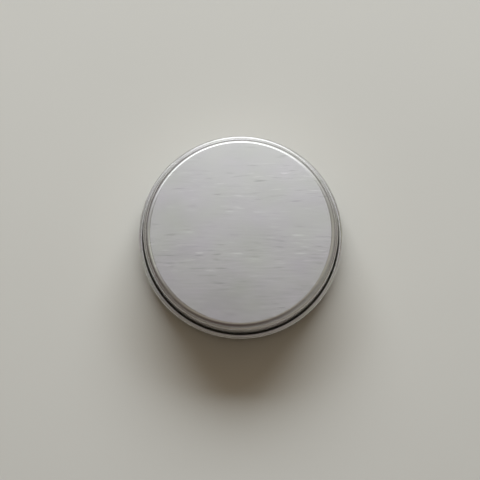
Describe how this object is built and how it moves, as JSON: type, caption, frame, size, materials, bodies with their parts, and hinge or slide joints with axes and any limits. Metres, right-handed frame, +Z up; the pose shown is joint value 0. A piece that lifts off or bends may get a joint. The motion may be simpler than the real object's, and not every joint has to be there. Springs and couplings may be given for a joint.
{
  "type": "snus tin",
  "caption": "Round brushed aluminium tin: a shallow base with a rolled shoulder and gutter, and a stepped push-on lid that lifts off, with a foam liner inside it.",
  "frame": {"origin": "centre of the ring that the tin stands on, in its lowest plane", "axes": "+Z up along the tin's own axis; the tin is round, and its brushing runs along X, with -Y towards the viewer of the picture"},
  "size_m": [0.07, 0.07, 0.022],
  "materials": {
    "aluminium": "satin",
    "liner_foam": "matte"
  },
  "bodies": {
    "base": {"base_cup": "aluminium"},
    "lid": {"lid_shell": "aluminium", "lid_liner": "liner_foam"}
  },
  "joints": [
    {"name": "lid_lift", "type": "slide", "parent": "base", "child": "lid", "axis": [0, 0, 1], "range_m": [0, 0.04]}
  ]
}
